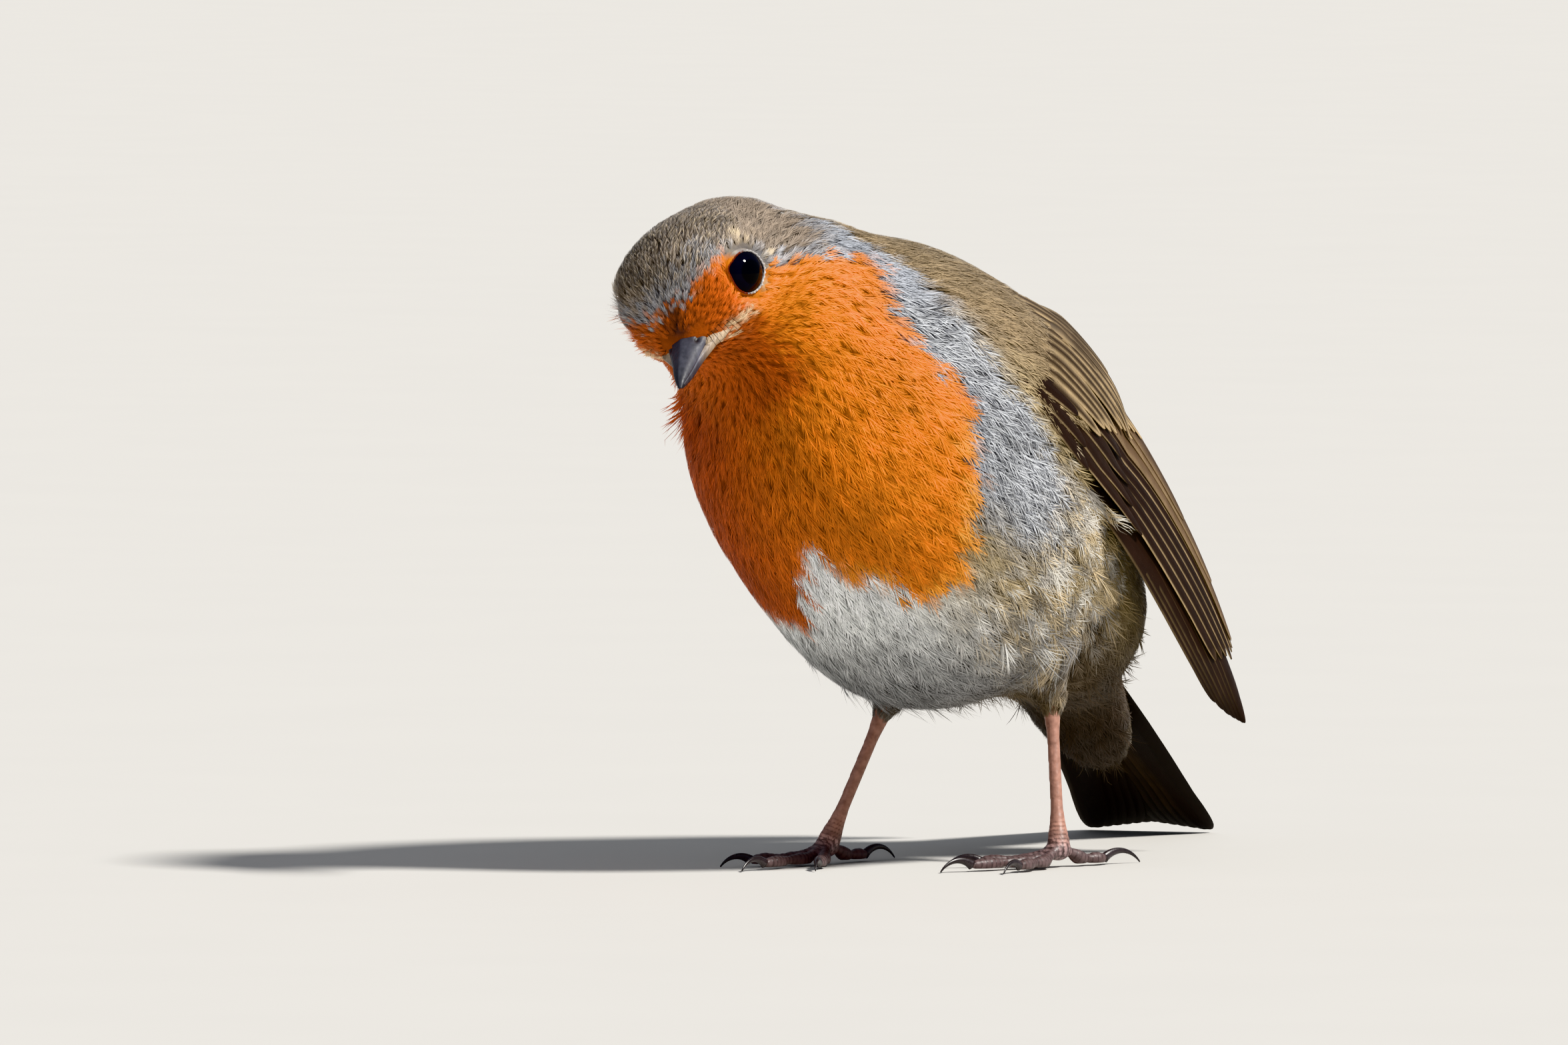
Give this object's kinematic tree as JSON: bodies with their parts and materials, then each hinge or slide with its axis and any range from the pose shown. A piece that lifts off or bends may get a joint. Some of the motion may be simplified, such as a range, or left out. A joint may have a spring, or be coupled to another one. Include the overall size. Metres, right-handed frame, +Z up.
{
  "type": "robin",
  "caption": "Life-size European robin standing on both feet, head turned and tilted to its left, wings folded, tail tip down.",
  "frame": {"origin": "on the floor, under the middle of the bird's bounding box", "axes": "+X is the bird's left, +Y runs from breast to tail, +Z is up; the bill points to -Y and to the bird's left"},
  "size_m": [0.0534, 0.1274, 0.0846],
  "materials": {
    "plumage_brown": "soft olive brown contour feathers",
    "plumage_orange": "soft rusty orange contour feathers",
    "plumage_belly": "soft white and buff grey contour feathers",
    "flight_feathers": "smooth dark brown vanes with paler edges",
    "bill_horn": "satin slate black horn",
    "claw_horn": "satin dark horn",
    "leg_skin": "scaled pinkish brown skin",
    "eye": "wet black"
  },
  "bodies": {
    "root": {"head": "plumage_brown", "neck": "plumage_orange", "trunk": "plumage_belly", "rump": "plumage_brown", "tail": "flight_feathers", "bill_upper": "bill_horn", "bill_lower": "bill_horn", "eye_left": "eye", "eye_right": "eye", "wing_left_shoulder": "plumage_brown", "wing_left_flight": "flight_feathers", "wing_right_shoulder": "plumage_brown", "wing_right_flight": "flight_feathers", "thigh_left": "plumage_belly", "thigh_right": "plumage_belly", "tarsus_left": "leg_skin", "tarsus_right": "leg_skin", "toe_left_1": "leg_skin", "toe_left_2": "leg_skin", "toe_left_3": "leg_skin", "toe_left_4": "leg_skin", "toe_right_1": "leg_skin", "toe_right_2": "leg_skin", "toe_right_3": "leg_skin", "toe_right_4": "leg_skin", "claw_left_1": "claw_horn", "claw_left_2": "claw_horn", "claw_left_3": "claw_horn", "claw_left_4": "claw_horn", "claw_right_1": "claw_horn", "claw_right_2": "claw_horn", "claw_right_3": "claw_horn", "claw_right_4": "claw_horn"}
  },
  "joints": []
}
